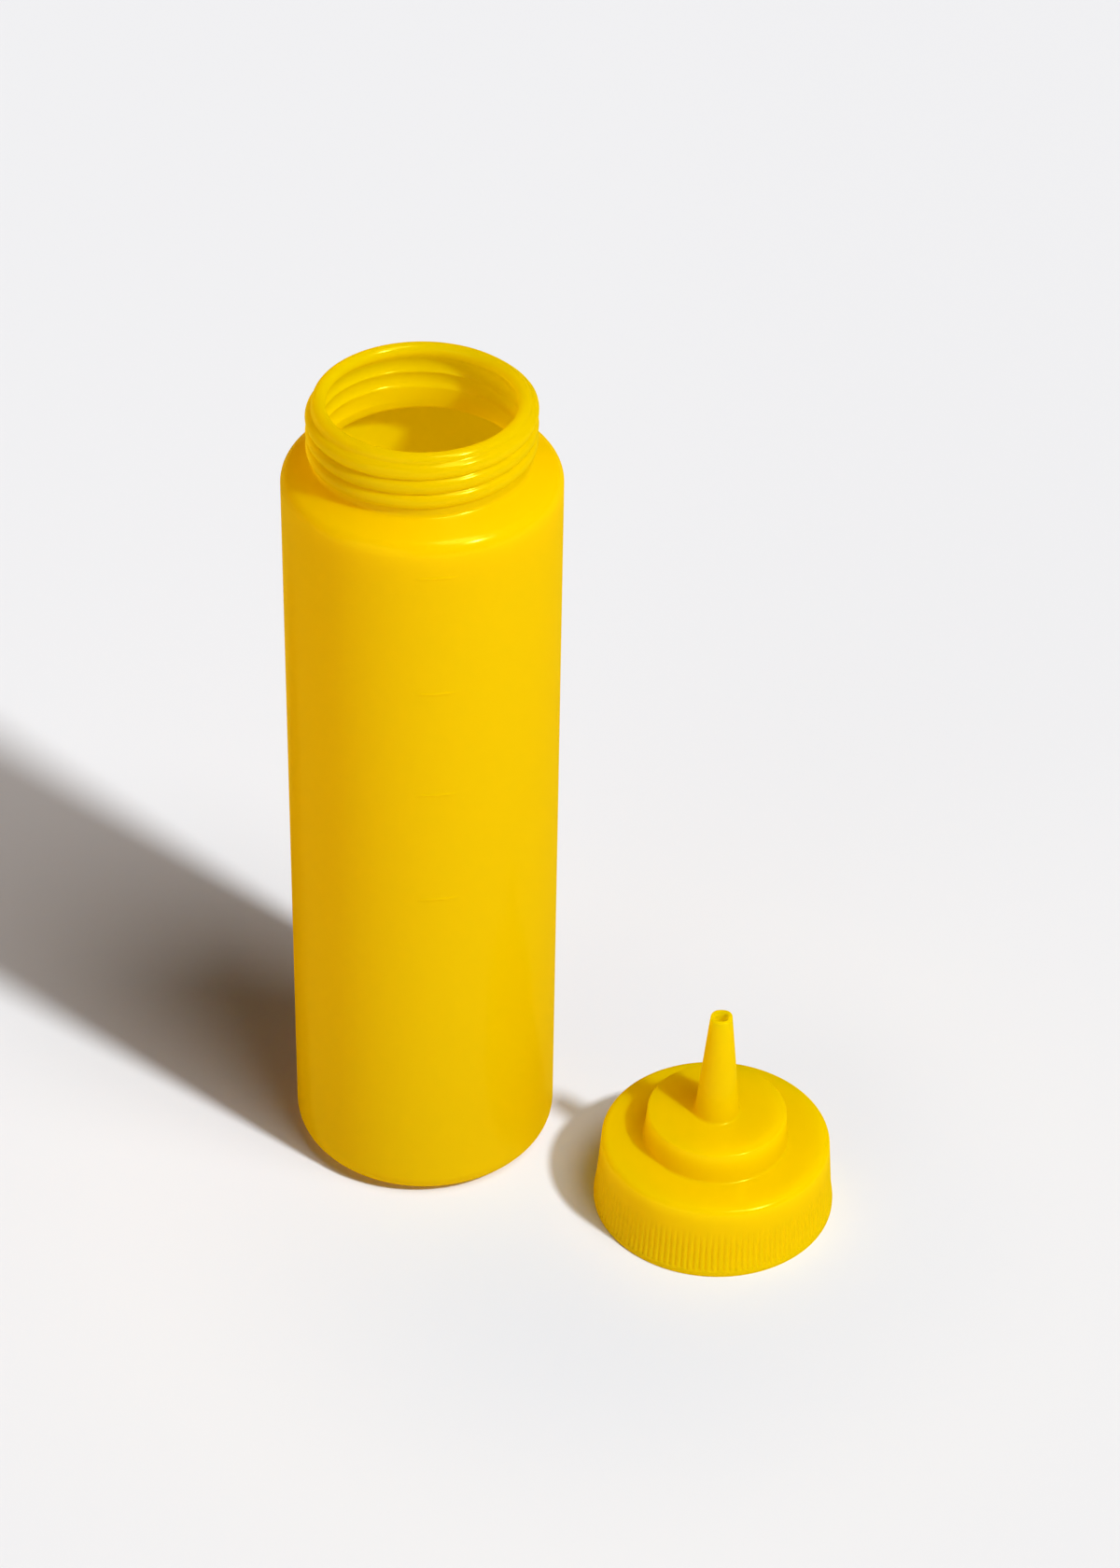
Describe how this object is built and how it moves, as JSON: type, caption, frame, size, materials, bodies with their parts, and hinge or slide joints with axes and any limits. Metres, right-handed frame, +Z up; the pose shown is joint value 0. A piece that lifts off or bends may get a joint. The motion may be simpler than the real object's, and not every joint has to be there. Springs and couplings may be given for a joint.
{
  "type": "squeeze bottle with cone-tip cap",
  "caption": "Empty soft plastic sauce squeeze bottle with an open screw neck, its ribbed cap with a cone nozzle standing open side down beside it.",
  "frame": {"origin": "middle of the bottle's base, on the surface that the bottle and the cap stand on", "axes": "+Z up along the bottle's axis; -Y is the front with the fill lines; the cap stands towards +X and a little to the front"},
  "size_m": [0.1573, 0.1108, 0.252],
  "materials": {
    "bottle_plastic": "thin, slightly cloudy yellow squeeze plastic with a soft gloss",
    "cap_plastic": "solid yellow moulded plastic with a soft gloss"
  },
  "bodies": {
    "root": {"bottle": "bottle_plastic", "cone_cap": "cap_plastic"}
  },
  "joints": []
}
